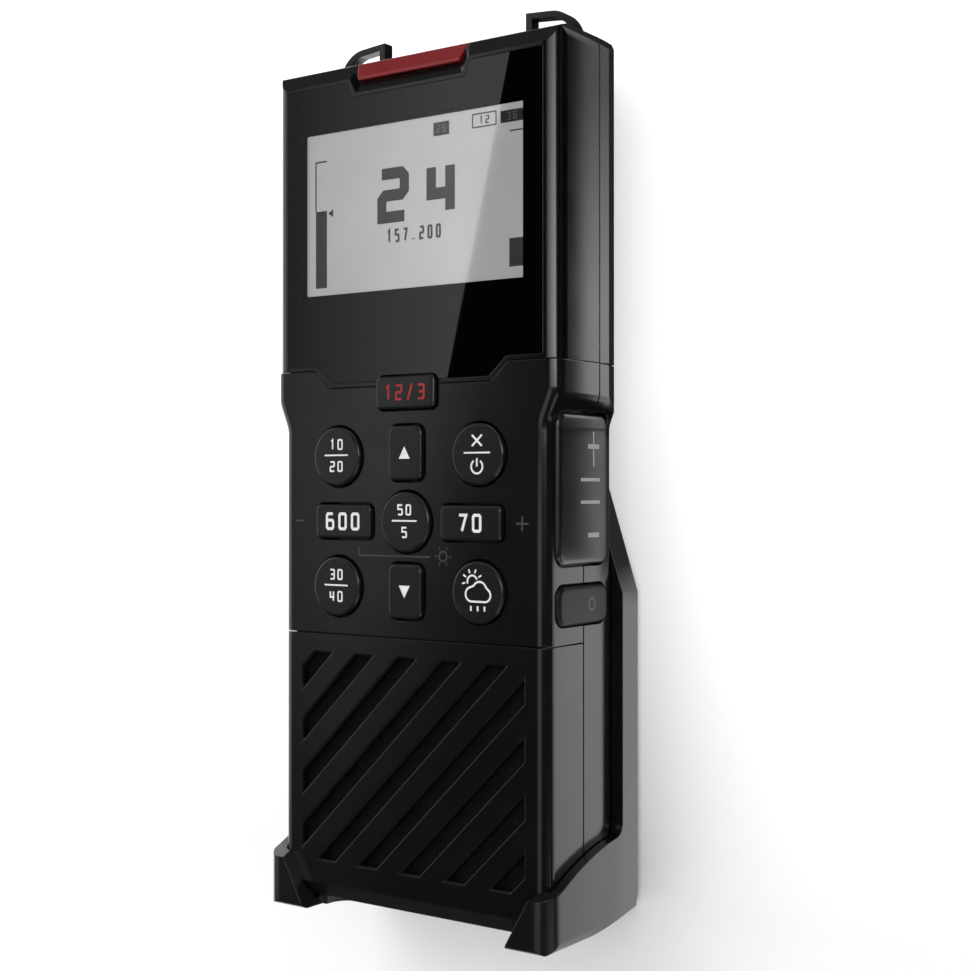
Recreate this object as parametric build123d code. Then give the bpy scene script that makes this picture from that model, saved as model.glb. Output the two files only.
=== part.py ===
from build123d import *
import os
from math import cos, radians, sin

# A wireless VHF handset standing in its wall-mounted inductive charging cradle.
# Millimetres. The origin is the centre of the cradle's wall screws, on the wall plane.
# +Z is up, +X is to the right seen from the front, and the wall is at +Y.

os.makedirs("parts", exist_ok=True)

# ---------------------------------------------------------------- handset, outside
head_width = 66.5           # display section
grip_width = 62.2           # keypad and speaker sections
handset_depth = 22.0
front_height = 160.8        # foot to the top of the front bevel
crown_rise = 1.9            # crown of the top above the front bevel
flare_low = 91.0            # heights above the foot where the grip widens into the head
flare_high = 96.2
flare_radius = 5.0
head_corner_radius = 3.5
foot_corner_radius = 3.0
edge_radius = 2.4           # long edges of the grip, front
head_edge_radius = 3.2      # and of the head
back_edge_radius = 1.3      # long edges at the back
head_side_draw = 1.45       # each side of the head draws in by this toward the back
head_draw_depth = 17.4      # and starts to at this depth
top_bevel_depth = 1.5
top_bevel_height = 2.8
foot_bevel_depth = 2.0
foot_bevel_height = 3.0
foot_flat_depth = 10.5      # the foot is level this far back, then it rises
foot_rise = 2.0
back_top_drop = 2.2         # the crown falls this far to the back edge

# ---------------------------------------------------------------- shells
wall = 2.8
skin = 1.6                  # display bezel and speaker cover, laid over the front shell
skin_gap = 0.05
seam = 0.25                 # open joint line between outside pieces
seam_depth = 0.6
parting_head = 14.2         # depth of the joint between the shells, in the head
parting_grip = 12.1         # and in the grip
head_line = 102.2           # height of the joint line under the display
tab_drop = 3.5              # the display zone's middle tab hangs this far under it
tab_half_width = 19.0
tab_slant = 3.8
speaker_line = 51.6         # height of the joint line above the speaker cover
rim_width = 2.0             # sealing rim inside both shells
rim_reach = 2.0
gasket_inset = 0.5          # gasket, in from the inside of the wall
gasket_width = 0.8
gasket_height = 1.4
fit_gap = 0.1               # glued or trapped pieces
running_gap = 0.3           # round pieces that move

# ---------------------------------------------------------------- display
lens_border = 0.8           # bezel left around the lens
mask_thickness = 0.15
lcd_view_width = 51.3
lcd_view_height = 31.4
lcd_height = 132.7          # height of its centre above the foot
lcd_rim = 1.8               # glass outside the view
lcd_thickness = 2.0
lcd_corner = 0.6
lcd_view_corner = 0.4
backlight_thickness = 2.1

# ---------------------------------------------------------------- keys
key_proud = 0.95
key_travel = 0.8
key_gap = 0.35
key_flange = 0.7            # flange width behind the wall
key_flange_thickness = 0.8
key_stem_radius = 1.5
key_stem_length = 0.95
key_edge = 0.5
round_key_radius = 5.7
arrow_key_width = 7.8
arrow_key_height = 10.3
side_soft_key_width = 13.6
side_soft_key_height = 6.5
channel_key_width = 13.8
channel_key_height = 6.2
arrow_key_corner = 1.6
bar_key_corner = 1.2
column_offset = 16.6        # round keys, from the middle
soft_column_offset = 15.0   # left and right keys, from the middle
channel_row = 97.4
upper_row = 85.6            # round keys
up_row = 86.1
middle_row = 73.2
lower_row = 60.7            # round keys
down_row = 60.3
mat_thickness = 0.5
mat_half_width = 25.0
mat_bottom = 52.6
mat_top = 103.4
mat_rim = 1.1
mat_corner = 2.0
dome_radius = 2.6
dome_height = 0.4
dome_film = 0.2
dome_sheet_inset = 0.6

# ---------------------------------------------------------------- speaker
grille_width = 52.0
grille_top = 47.6
grille_bottom = 7.7
slot_count = 9
slot_pitch = 7.25           # square to the slots
slot_width = 2.8
slot_angle = 45.0
slot_chamfer = 0.35
mesh_thickness = 0.3
speaker_radius = 17.5
speaker_depth = 7.5
speaker_rim = 1.5
speaker_frame = 1.2         # thickness of the frame's flange
speaker_basket = 2.8
speaker_magnet_radius = 9.7
speaker_cap_radius = 4.0
speaker_cone_depth = 2.4
speaker_row = 27.8
mic_radius = 3.0
mic_thickness = 2.4
mic_offset = 20.0
mic_row = 11.5

# ---------------------------------------------------------------- keys on the sides
side_front = 2.7            # depth where the side keys start
side_back = 19.6            # and end
side_recess_wall = 2.4      # wall left behind the recesses
rocker_height = 27.4
rocker_row = 79.4
rocker_tilt = 2.2           # degrees each way
rocker_thickness = 1.8
rocker_floor_gap = 0.7
rocker_ridge_inset = 2.0    # the round ridge that it tilts about stops this far from its ends
side_key_height = 7.2
side_key_row = 58.5
side_key_travel = 0.6
ptt_height = 34.0
ptt_row = 76.0
ptt_travel = 0.8
side_pad_thickness = 2.0
side_proud = 0.7
side_corner = 2.2
side_edge = 1.0

# ---------------------------------------------------------------- distress key
cover_top_half = 13.1
cover_lip_half = 11.9
cover_lip_drop = 3.4        # lip below the top of the front bevel
cover_roof = 1.7
cover_cheek = 1.8
cover_open = 95.0           # degrees
cover_ceiling_drop = 0.7    # its hollow stops this far below the top of the front bevel
hinge_depth = 11.4          # behind the front face
hinge_barrel_radius = 1.7
hinge_pin_radius = 0.75
hinge_pin_gap = 0.05
hinge_slot = 2.1            # room behind the barrel
pin_reach = 2.4             # pin beyond the cover, each side
scoop_low_half = 12.6
scoop_high_half = 14.7
scoop_drop = 5.7            # its lower edge, below the top of the front bevel
scoop_shoulder_drop = 1.5
scoop_depth = 0.8
scoop_draw = 1.25           # it narrows this much on each side to its floor
scoop_low_draw = 1.85       # and at its lower edge
well_floor = 2.2
well_wall = 1.4
button_radius = 3.2
button_height = 1.7         # above the floor of the well
button_travel = 0.8
button_stem_radius = 2.0
button_clip_radius = 2.9
button_clip = 0.9
button_setback = 6.2        # centre, behind the front face

# ---------------------------------------------------------------- lanyard loops
loop_inner = 17.0
loop_outer = 28.6
loop_rise = 5.9             # of their inner ends, above the crown
loop_fall = 0.5             # the bars fall this much before they bend down
loop_bar = 1.3
loop_depth = 2.5
loop_flat = 6.2
loop_root = 1.6             # the loops run this far into the top
loop_setback = 15.5         # centre of the loops, behind the front face

# ---------------------------------------------------------------- inside the handset
board_width = 43.0
board_top = 151.0
board_bottom = 53.0
board_thickness = 1.2
board_corner = 1.0
board_gap = 0.25            # behind the backlight
shield_width = 34.0
shield_height = 40.0
shield_depth = 2.4
shield_wall = 0.3
shield_row = 76.0
battery_width = 43.0
battery_height = 66.0
battery_thickness = 8.2
battery_gap = 2.0           # under the antenna
battery_corner = 3.0
battery_edge = 1.0
coil_radius = 16.0
coil_inner_radius = 8.0
coil_thickness = 0.8
coil_row = 51.0             # height of the coils above the handset's foot
ferrite_thickness = 0.6
antenna_width = 38.0
antenna_height = 6.0
antenna_thickness = 0.4
antenna_row = 153.0
boss_radius = 3.2
screw_radius = 1.25
screw_head_radius = 2.3
screw_head_height = 1.7
screw_head_edge = 0.6
screw_socket_radius = 0.9
screw_socket_depth = 1.0
screw_length = 11.0
screw_gap = 0.05
screw_sink = 0.4
boss_bite = 0.4             # the bosses run this far into the side walls
boss_rows = [6.2, 49.0, 107.5, 155.5]

# ---------------------------------------------------------------- cradle
plate_thickness = 7.0
seat_gap = 0.3              # between handset and cradle
cradle_bottom = -43.0
cradle_top = 42.8
shoulder_z = 19.0           # where the plate starts to narrow
top_half_width = 25.6
cup_floor = 1.6
claw_thickness = 2.4
claw_top = 9.4              # heights above the cradle's bottom
claw_half_gap = 23.4
claw_slant = 5.3
cup_front_wall = 10.7
cup_middle_wall = 14.4
cup_back_wall = 16.4
cup_corner = 3.6
cup_lip_radius = 1.2
cup_fillet = 2.5
cup_wall_rise = 0.8         # over the last stretch of the side walls
cup_foot_radius = 2.0
floor_cut_half = 22.3
floor_cut_depth = 8.0
floor_cut_radius = 4.0
back_chamfer = 1.4
heel_depth = 2.1
heel_height = 8.6
heel_drop = 2.9
rail_width = 30.0
rail_height = 2.6
rail_undercut = 1.5
rail_bottom = -14.0
rail_top = 26.0
rail_chamfer = 4.0
wall_screw_x = 50.0
wall_screw_z = 50.0
wall_screw_radius = 2.2
wall_screw_head_radius = 4.2
pocket_half_width = 19.0
pocket_bottom = -28.0
pocket_top = 30.0
pocket_depth = 5.4
lid_ledge = 2.5
lid_thickness = 1.5
lid_screw_radius = 1.0
lid_screw_head_radius = 1.8
lid_screw_length = 4.0
lid_boss_radius = 2.6
lid_boss_inset = 1.8
cradle_board_width = 26.0
cradle_board_bottom = -27.0
cradle_board_top = -12.0
cradle_board_thickness = 1.2
gland_z = -19.0
gland_radius = 4.0
gland_flange_radius = 5.2
gland_bore_radius = 2.3
gland_flange = 1.0

# ---------------------------------------------------------------- places worked out
back_y = -(plate_thickness + seat_gap)
front_y = back_y - handset_depth
cradle_half_width = head_width / 2
foot_z = cradle_bottom + cup_floor + seat_gap
bevel_top_z = foot_z + front_height
crown_z = bevel_top_z + crown_rise
board_y = front_y + skin + lcd_thickness + backlight_thickness + 2 * fit_gap + board_gap
inner_front_y = front_y + wall
inner_back_y = back_y - wall
lcd_z = foot_z + lcd_height
rail_floor_y = -plate_thickness - rail_height - seat_gap
coil_z = foot_z + coil_row
jog_low_z = foot_z + rocker_row
jog_high_z = jog_low_z + parting_head - parting_grip
hinge_y = front_y + hinge_depth
hinge_z = crown_z - hinge_barrel_radius
well_floor_z = bevel_top_z - cover_lip_drop - running_gap
spare = 20.0                # how far cuts run on past the outside


# ---------------------------------------------------------------- drawing helpers
def depth(value):
    """Y of a plane this far behind the handset's front face."""
    return front_y + value


def level(value):
    """Z of a plane this far above the handset's foot."""
    return foot_z + value


def slab(x0, x1, y0, y1, z0, z1):
    """A box given by the places of its six faces."""
    return Pos((x0 + x1) / 2, (y0 + y1) / 2, (z0 + z1) / 2) * Box(x1 - x0, y1 - y0, z1 - z0)


def from_front(sketch, y0, y1):
    """Extrude a front view, drawn in X and Z, from y0 back to y1."""
    plane = Plane(origin=(0, y0, 0), x_dir=(1, 0, 0), z_dir=(0, -1, 0))
    return extrude(plane * sketch, amount=y1 - y0, dir=(0, 1, 0))


def from_side(sketch, x0, x1):
    """Extrude a side view, drawn in Y and Z, from x0 to x1."""
    plane = Plane(origin=(x0, 0, 0), x_dir=(0, 1, 0), z_dir=(1, 0, 0))
    return extrude(plane * sketch, amount=x1 - x0, dir=(1, 0, 0))


def from_above(sketch, z0, z1):
    """Extrude a plan view, drawn in X and Y, from z0 up to z1."""
    return extrude(Pos(0, 0, z0) * sketch, amount=z1 - z0)


def rounded(width, height, radius, x=0.0, z=0.0):
    """A rounded rectangle for a front view."""
    return Pos(x, z) * RectangleRounded(width, height, radius)


def rod_y(radius, y0, y1, x=0.0, z=0.0):
    """A cylinder along Y."""
    return from_front(Pos(x, z) * Circle(radius), y0, y1)


def taper_y(start_radius, end_radius, y, length, x=0.0, z=0.0):
    """A cone cut short, along Y; a negative length runs toward -Y."""
    turn = Rot(-90, 0, 0) if length > 0 else Rot(90, 0, 0)
    stump = Cone(start_radius, end_radius, abs(length), align=(Align.CENTER, Align.CENTER, Align.MIN))
    return Pos(x, y, z) * turn * stump


def rod_x(radius, x0, x1, y=0.0, z=0.0):
    """A cylinder along X."""
    return from_side(Pos(y, z) * Circle(radius), x0, x1)


def mirrored(points):
    """Close a right-hand outline with its mirror image."""
    return points + [(-x, z) for x, z in reversed(points)]


def both_sides(solid):
    """A solid and its mirror image across the middle plane."""
    return solid + mirror(solid, about=Plane.YZ)


# ---------------------------------------------------------------- the handset's form
def flared_outline():
    """Front view of the long sides: a narrow grip that flares into the wider head."""
    right = [
        (grip_width / 2, foot_z - spare),
        (grip_width / 2, level(flare_low)),
        (head_width / 2, level(flare_high)),
        (head_width / 2, crown_z + spare),
    ]
    outline = Polygon(*mirrored(right), align=None)
    flare = [v for v in outline.vertices() if foot_z < v.Y < crown_z]
    return fillet(flare, flare_radius)


def end_outline():
    """Front view of the rounded corners at the two ends; its own flare stays outside the sides."""
    right = [
        (grip_width / 2, foot_z),
        (grip_width / 2, level(flare_low) - flare_radius),
        (head_width / 2, level(flare_high) - flare_radius),
        (head_width / 2, crown_z),
    ]
    outline = Polygon(*mirrored(right), align=None)
    outline = fillet(outline.vertices().group_by(Axis.Y)[-1], head_corner_radius)
    return fillet(outline.vertices().group_by(Axis.Y)[0], foot_corner_radius)


def draw_outline():
    """Plan view of the head's sides, which draw in toward the back; it runs on past all faces."""
    slope = head_side_draw / (handset_depth - head_draw_depth)
    widest = max(head_width, grip_width) / 2
    wide = widest + slope * wall
    narrow = widest - head_side_draw - slope * wall
    start = depth(head_draw_depth) - wall
    right = [(wide, front_y - spare), (wide, start), (narrow, back_y + wall)]
    return Polygon(*mirrored(right), align=None)


def side_outline():
    """Side view: bevelled front edges, a crowned top and a foot that rises to the back."""
    top_front = (depth(top_bevel_depth), bevel_top_z)
    top_middle = (depth(handset_depth / 2), crown_z)
    top_back = (back_y, crown_z - back_top_drop)
    edges = [
        Line((front_y, level(foot_bevel_height)), (front_y, bevel_top_z - top_bevel_height)),
        Line((front_y, bevel_top_z - top_bevel_height), top_front),
        ThreePointArc(top_front, top_middle, top_back),
        Line(top_back, (back_y, level(foot_rise))),
        Line((back_y, level(foot_rise)), (depth(foot_flat_depth), foot_z)),
        Line((depth(foot_flat_depth), foot_z), (depth(foot_bevel_depth), foot_z)),
        Line((depth(foot_bevel_depth), foot_z), (front_y, level(foot_bevel_height))),
    ]
    return make_face(edges)


def softened(prism, front_radius, back_radius):
    """Round the long edges of a prism that runs from front to back."""
    for place, radius in ((0, front_radius), (-1, back_radius)):
        if radius > 0:
            ring = prism.edges().group_by(Axis.Y)[place]
            prism = fillet([e for e in ring if e.bounding_box().size.Z > 0.05], radius)
    return prism


def form(inset=0.0, soft=True):
    """The handset's outer form, drawn in by an inset on every side."""
    sides = flared_outline()
    ends = end_outline()
    drawn = draw_outline()
    profile = side_outline()
    if inset:
        sides = offset(sides, amount=-inset, kind=Kind.INTERSECTION)
        ends = offset(ends, amount=-inset, kind=Kind.INTERSECTION)
        drawn = offset(drawn, amount=-inset, kind=Kind.INTERSECTION)
        profile = offset(profile, amount=-inset, kind=Kind.INTERSECTION)
    body = from_front(sides, front_y + inset, back_y - inset)
    body = body & from_above(drawn, foot_z - spare, crown_z + spare)
    if soft:
        line = level(head_line)
        above = slab(-head_width, head_width, front_y, back_y, line, crown_z + spare)
        below = slab(-head_width, head_width, front_y, back_y, foot_z - spare, line)
        back_radius = back_edge_radius - inset
        head = softened(body, head_edge_radius - inset, back_radius) & above
        body = head + (softened(body, edge_radius - inset, back_radius) & below)
    return body & from_front(ends, front_y, back_y) & from_side(profile, -head_width, head_width)


def parting_outline(shift=0.0):
    """Side view of everything in front of the stepped joint between the shells."""
    low = depth(parting_grip) + shift
    high = depth(parting_head) + shift
    return Polygon(
        (front_y - spare, foot_z - spare),
        (low, foot_z - spare),
        (low, jog_low_z),
        (high, jog_high_z),
        (high, crown_z + spare),
        (front_y - spare, crown_z + spare),
        align=None,
    )


def front_half(shift=0.0):
    """Everything in front of the joint between the shells."""
    return from_side(parting_outline(shift), -head_width, head_width)


def joint_band(start, end):
    """A layer that follows the joint between the shells."""
    return from_side(parting_outline(end) - parting_outline(start), -head_width, head_width)


def joint_ring(outer_inset, inner_inset, reach):
    """A ring along the joint between the shells, between two insets from the outside."""
    outline = flared_outline() & end_outline()
    ring = offset(outline, amount=-outer_inset, kind=Kind.INTERSECTION)
    ring -= offset(outline, amount=-inner_inset, kind=Kind.INTERSECTION)
    return from_front(ring, front_y, back_y) & joint_band(-reach, reach)


def display_outline(gap=0.0):
    """Front view of the display zone: all above the joint line, with the middle tab."""
    line = level(head_line)
    right = [
        (tab_half_width, line - tab_drop),
        (tab_half_width + tab_slant, line),
        (head_width, line),
        (head_width, crown_z + spare),
    ]
    outline = Polygon(*mirrored(right), align=None)
    if gap:
        outline = offset(outline, amount=-gap, kind=Kind.INTERSECTION)
    return outline


def display_zone(gap=0.0):
    return from_front(display_outline(gap), front_y - spare, back_y + spare)


def speaker_zone(gap=0.0):
    top = level(speaker_line) - gap
    return slab(-head_width, head_width, front_y - spare, back_y + spare, foot_z - spare, top)


# ---------------------------------------------------------------- outlines of the keys
def key_outlines():
    """Front views of the ten keys, by node name."""
    arrow = (arrow_key_width, arrow_key_height, arrow_key_corner)
    soft = (side_soft_key_width, side_soft_key_height, bar_key_corner)
    channel = (channel_key_width, channel_key_height, bar_key_corner)
    disc = Circle(round_key_radius)
    column = column_offset
    soft_column = soft_column_offset
    return {
        "key_channel": rounded(*channel, 0, level(channel_row)),
        "key_upper_left": Pos(-column, level(upper_row)) * disc,
        "key_up": rounded(*arrow, 0, level(up_row)),
        "key_power": Pos(column, level(upper_row)) * disc,
        "key_left": rounded(*soft, -soft_column, level(middle_row)),
        "key_ok": Pos(0, level(middle_row)) * disc,
        "key_right": rounded(*soft, soft_column, level(middle_row)),
        "key_lower_left": Pos(-column, level(lower_row)) * disc,
        "key_down": rounded(*arrow, 0, level(down_row)),
        "key_weather": Pos(column, level(lower_row)) * disc,
    }


def key_holes(y0, y1):
    """Openings for all the keys, with their clearance."""
    return [from_front(offset(k, amount=key_gap), y0, y1) for k in key_outlines().values()]


def front_key(outline):
    """A key cap with the flange that holds it behind the wall and its stem."""
    flange_y = inner_front_y + fit_gap
    back = flange_y + key_flange_thickness
    cap = from_front(outline, front_y - key_proud, back)
    cap = fillet(cap.faces().sort_by(Axis.Y)[0].edges(), key_edge)
    flange = from_front(offset(outline, amount=key_flange), flange_y, back)
    middle = outline.center()
    stem = rod_y(key_stem_radius, back, back + key_stem_length, middle.X, middle.Y)
    return cap + flange + stem


# ---------------------------------------------------------------- keys on the sides
def side_pad(row, height, thickness, gap=0.0):
    """A rounded pad lying in the grip's right-hand side."""
    long = side_back - side_front + 2 * gap
    middle_y = depth((side_front + side_back) / 2)
    sketch = Pos(middle_y, level(row)) * RectangleRounded(long, height + 2 * gap, side_corner + gap)
    outer = grip_width / 2 + side_proud
    return from_side(sketch, outer - thickness, outer)


def side_recess(row, height, floor_x):
    """The recess that a side pad lies in, open to the outside."""
    reach = grip_width / 2 + side_proud - floor_x
    return Pos(wall, 0, 0) * side_pad(row, height, reach + wall, running_gap)


def soften(pad):
    """Round the edges of a side pad's outer face."""
    return fillet(pad.faces().sort_by(Axis.X)[-1].edges(), side_edge)


rocker_floor_x = grip_width / 2 + side_proud - rocker_thickness - rocker_floor_gap
side_key_floor_x = grip_width / 2 + side_proud - side_pad_thickness - side_key_travel - fit_gap
ptt_floor_x = grip_width / 2 + side_proud - side_pad_thickness - ptt_travel - fit_gap


def side_recesses():
    """Rocker and small key on the right, the talk key on the left."""
    right = side_recess(rocker_row, rocker_height, rocker_floor_x)
    right += side_recess(side_key_row, side_key_height, side_key_floor_x)
    left = mirror(side_recess(ptt_row, ptt_height, ptt_floor_x), about=Plane.YZ)
    return [right, left]


def side_backing(row, height, floor_x):
    """Thicker wall behind a recess, on the right."""
    half = height / 2 + side_recess_wall
    return slab(
        floor_x - side_recess_wall, grip_width / 2 - wall / 2,
        inner_front_y - wall / 2, inner_back_y + wall / 2,
        level(row) - half, level(row) + half,
    )


def side_backings():
    right = side_backing(rocker_row, rocker_height, rocker_floor_x)
    right += side_backing(side_key_row, side_key_height, side_key_floor_x)
    left = mirror(side_backing(ptt_row, ptt_height, ptt_floor_x), about=Plane.YZ)
    return right + left


# ---------------------------------------------------------------- screws
def boss_places():
    """X and Z of the screws that hold the shells together."""
    places = []
    for row in boss_rows:
        half = head_width / 2 if row > flare_high else grip_width / 2
        x = half - wall - boss_radius + boss_bite
        places += [(x, level(row)), (-x, level(row))]
    return places


screw_seat_y = back_y - screw_sink - screw_head_height


def shell_bosses(y0, y1):
    return [rod_y(boss_radius, y0, y1, x, z) for x, z in boss_places()]


def shell_screws():
    """Pan-head screws, driven in from the back."""
    screws = []
    for x, z in boss_places():
        head = rod_y(screw_head_radius, screw_seat_y, screw_seat_y + screw_head_height, x, z)
        head = fillet(head.edges().group_by(Axis.Y)[-1], screw_head_edge)
        shank = rod_y(screw_radius, screw_seat_y - screw_length, screw_seat_y, x, z)
        hexagon = Pos(x, z) * RegularPolygon(screw_socket_radius, 6)
        socket_y = screw_seat_y + screw_head_height - screw_socket_depth
        screws.append(head + shank - from_front(hexagon, socket_y, back_y))
    return screws


# ---------------------------------------------------------------- distress key
def notch_outline(gap=0.0):
    """Front view of the cover's notch, narrower at the bottom."""
    lip = bevel_top_z - cover_lip_drop
    right = [(cover_lip_half, lip), (cover_top_half, bevel_top_z), (cover_top_half, crown_z + spare)]
    outline = Polygon(*mirrored(right), align=None)
    if gap:
        outline = offset(outline, amount=gap, kind=Kind.INTERSECTION)
    return outline


def distress_well():
    """Room for the cover and its hinge, cut out of the front and the top."""
    half = cover_top_half + running_gap
    cut = from_front(notch_outline(running_gap), front_y - spare, hinge_y)
    cut += rod_x(hinge_barrel_radius + running_gap, -half, half, hinge_y, hinge_z)
    cut += slab(-half, half, hinge_y, hinge_y + hinge_slot, hinge_z, crown_z + spare)
    return cut


def scoop():
    """A bevelled hollow in the bezel, round the notch."""
    def outline(draw, low_draw):
        low = bevel_top_z - scoop_drop + low_draw
        shoulder = bevel_top_z - scoop_shoulder_drop
        right = [
            (scoop_low_half - draw, low),
            (scoop_high_half - draw, shoulder),
            (scoop_high_half - draw, crown_z + spare),
        ]
        return Polygon(*mirrored(right), align=None)
    front = Plane(origin=(0, front_y, 0), x_dir=(1, 0, 0), z_dir=(0, -1, 0))
    back = Plane(origin=(0, depth(scoop_depth), 0), x_dir=(1, 0, 0), z_dir=(0, -1, 0))
    return loft([front * outline(0, 0), back * outline(scoop_draw, scoop_low_draw)])


def well_block():
    """The walls and floor of the distress well, inside the front shell."""
    half = cover_top_half + pin_reach + well_wall
    back = hinge_y + hinge_slot + well_wall
    return slab(-half, half, front_y, back, well_floor_z - well_floor, crown_z)


def hinge_bore(radius, reach):
    half = cover_top_half + reach
    return rod_x(radius, -half, half, hinge_y, hinge_z)


# ---------------------------------------------------------------- handset pieces
def build_shells(outer, under_skin, cavity):
    """Front shell, rear shell and their gasket."""
    mid_wall = form(wall / 2)
    rim = joint_ring(wall / 2, wall + rim_width, rim_reach) & mid_wall
    start = wall + gasket_inset
    end = start + gasket_width
    gasket = joint_ring(start, end, gasket_height / 2)
    groove = joint_ring(start - fit_gap, end + fit_gap, gasket_height / 2 + fit_gap)
    pilot = screw_radius + screw_gap

    front = outer - cavity
    front += well_block() & mid_wall
    front += side_backings() & mid_wall
    front += rim
    front += [boss & mid_wall for boss in shell_bosses(inner_front_y - wall / 2, back_y)]
    front = front & front_half()
    front -= display_zone() - under_skin
    front -= speaker_zone() - under_skin
    front -= (outer - form(seam_depth)) & joint_band(-seam, 0)
    front -= distress_well()
    front -= hinge_bore(hinge_pin_radius + hinge_pin_gap, pin_reach)
    front -= button_bore()
    front -= key_holes(front_y - 1, inner_front_y + 1)
    front -= side_recesses()
    front -= groove
    front -= lcd_opening()
    front -= speaker_opening()
    for x, z in boss_places():
        front -= rod_y(pilot, screw_seat_y - screw_length - 1, back_y, x, z)

    rear = outer - cavity
    rear += side_backings() & mid_wall
    rear += rim
    rear += [boss & mid_wall for boss in shell_bosses(inner_front_y, inner_back_y + wall / 2)]
    rear += rail_backing() & mid_wall
    rear = rear - front_half()
    rear += both_sides(lanyard_loop())
    rear -= from_above(rail_outline(seat_gap), foot_z - spare, rail_top + seat_gap)
    rear -= side_recesses()
    rear -= groove
    line_low = level(head_line) - seam / 2
    line = slab(-head_width, head_width, front_y, back_y, line_low, line_low + seam)
    rear -= (outer - form(seam_depth)) & line
    for x, z in boss_places():
        rear -= rod_y(pilot + screw_gap, front_y, back_y + 1, x, z)
        rear -= rod_y(screw_head_radius + fit_gap, screw_seat_y, back_y + 1, x, z)
    return {"front_shell": front, "rear_shell": rear, "shell_gasket": gasket}


def button_bore():
    """The distress button's hole through the well's floor."""
    hole = Pos(0, depth(button_setback)) * Circle(button_stem_radius + running_gap)
    return from_above(hole, well_floor_z - well_floor - 1, well_floor_z + 1)


def lcd_opening():
    width = lcd_view_width + 2 * (lcd_rim + fit_gap)
    height = lcd_view_height + 2 * (lcd_rim + fit_gap)
    return from_front(rounded(width, height, lcd_corner, 0, lcd_z), front_y + skin, inner_front_y + 1)


def speaker_opening():
    """Sound opening, microphone hole and the seat of the mesh."""
    sound = rod_y(speaker_radius - speaker_rim, front_y + skin, inner_front_y + 1, 0, level(speaker_row))
    voice = rod_y(mic_radius / 2, front_y + skin, inner_front_y + 1, mic_offset, level(mic_row))
    seat = from_front(mesh_outline(fit_gap), front_y, front_y + skin + mesh_thickness + skin_gap)
    return [sound, voice, seat]


def lanyard_loop():
    """The right-hand loop on top: an upright inner leg and a bar that curves down outwards."""
    base = crown_z - loop_root
    top = crown_z + loop_rise
    def outline(inset):
        start = loop_inner + inset
        end = loop_outer - inset
        flat = loop_inner + loop_flat
        high = top - inset
        low = high - loop_fall
        bend = (flat + (end - flat) * cos(radians(40)), base + (low - base) * sin(radians(40)))
        edges = [
            Line((start, base), (start, high)),
            Line((start, high), (flat, low)),
            ThreePointArc((flat, low), bend, (end, base)),
            Line((end, base), (start, base)),
        ]
        return make_face(edges)
    bar = outline(0) - outline(loop_bar)
    return from_front(bar, depth(loop_setback - loop_depth / 2), depth(loop_setback + loop_depth / 2))


def rail_outline(gap=0.0):
    """Plan view of the dovetail rail on the cradle's plate."""
    root = (rail_width / 2 - rail_undercut, -plate_thickness)
    right = [root, (rail_width / 2, -plate_thickness - rail_height)]
    outline = Polygon(*mirrored(right), align=None)
    if gap:
        outline = offset(outline, amount=gap, kind=Kind.INTERSECTION)
    return outline


def rail_backing():
    """Thicker wall in front of the groove that takes the rail."""
    half = rail_width / 2 + seat_gap + wall
    front = rail_floor_y - skin
    return slab(-half, half, front, inner_back_y + wall / 2, foot_z, rail_top + seat_gap + wall)


def lens_outline(gap=0.0):
    """Front view of the display lens: the display zone inside the bezel's rim."""
    rim = lens_border
    outline = display_outline(seam + rim)
    half = head_width / 2 - head_edge_radius
    top = bevel_top_z - top_bevel_height - rim
    outline = outline & Pos(0, top - front_height / 2) * Rectangle(2 * half, front_height)
    low = bevel_top_z - scoop_drop - rim
    right = [(scoop_low_half + rim, low), (scoop_high_half + rim, bevel_top_z)]
    outline = outline - Polygon(*mirrored(right), align=None)
    outline = outline - offset(key_outlines()["key_channel"], amount=key_gap)
    if gap:
        outline = offset(outline, amount=gap, kind=Kind.INTERSECTION)
    return outline


def build_display(outer, skin_inside):
    """Bezel, lens, printed mask, panel and backlight."""
    bezel = (outer - skin_inside) & display_zone(seam / 2) & front_half(-seam)
    bezel -= from_front(lens_outline(skin_gap), front_y - 1, front_y + skin + 1)
    bezel -= scoop()
    bezel -= distress_well()
    bezel -= key_holes(front_y - 1, front_y + skin + 1)
    bezel -= hinge_bore(hinge_pin_radius + hinge_pin_gap, pin_reach)
    lens = from_front(lens_outline(), front_y, front_y + skin - mask_thickness)
    view = rounded(lcd_view_width, lcd_view_height, lcd_view_corner, 0, lcd_z)
    mask = from_front(lens_outline() - view, front_y + skin - mask_thickness, front_y + skin)
    panel_y = front_y + skin + fit_gap
    width = lcd_view_width + 2 * lcd_rim
    height = lcd_view_height + 2 * lcd_rim
    panel_outline = rounded(width, height, lcd_corner, 0, lcd_z)
    panel = from_front(panel_outline, panel_y, panel_y + lcd_thickness)
    light_y = panel_y + lcd_thickness + fit_gap
    light = from_front(panel_outline, light_y, light_y + backlight_thickness)
    return {
        "display_bezel": bezel,
        "display_lens": lens,
        "display_mask": mask,
        "lcd_panel": panel,
        "backlight": light,
    }


def slot_outline():
    """Front view of the speaker slots: slanted bars clipped by a rectangle."""
    middle = level((grille_top + grille_bottom) / 2)
    window = Pos(0, middle) * Rectangle(grille_width, grille_top - grille_bottom)
    slots = []
    for i in range(slot_count):
        along = (i - (slot_count - 1) / 2) * slot_pitch
        x = along * sin(radians(slot_angle))
        z = -along * cos(radians(slot_angle))
        bar = Pos(x, middle + z) * Rot(0, 0, slot_angle) * Rectangle(3 * grille_width, slot_width)
        slots += (window & bar).faces()
    return slots


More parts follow.
